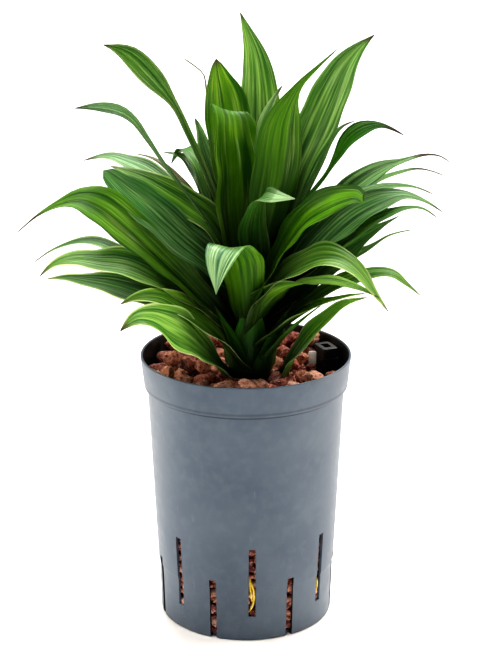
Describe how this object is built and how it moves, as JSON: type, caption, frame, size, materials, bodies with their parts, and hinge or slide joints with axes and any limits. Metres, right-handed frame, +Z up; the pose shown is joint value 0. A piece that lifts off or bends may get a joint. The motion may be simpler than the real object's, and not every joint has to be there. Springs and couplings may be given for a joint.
{
  "type": "potted dracaena",
  "caption": "Compact dracaena with channelled, arching strap leaves on a short cane, in a slotted tapering culture pot of clay granules with a gauge holder.",
  "frame": {"origin": "middle of the pot's underside", "axes": "+Z up along the pot's axis, +X to the right and +Y to the back, seen from the side that the picture shows"},
  "size_m": [0.2976, 0.2227, 0.4305],
  "materials": {
    "leaf": "glossy deep green blades with fine parallel veins, pale margins and brown tips",
    "granules": "dry rough red-brown fired clay",
    "pot_plastic": "satin grey-blue moulded plastic with light scuffs",
    "holder_plastic": "semi-gloss black moulded plastic",
    "tab_plastic": "satin white plastic"
  },
  "bodies": {
    "root": {"leafy_cane": "leaf", "clay_granules": "granules", "pot": "pot_plastic", "gauge_holder": "holder_plastic", "white_tab": "tab_plastic"}
  },
  "joints": []
}
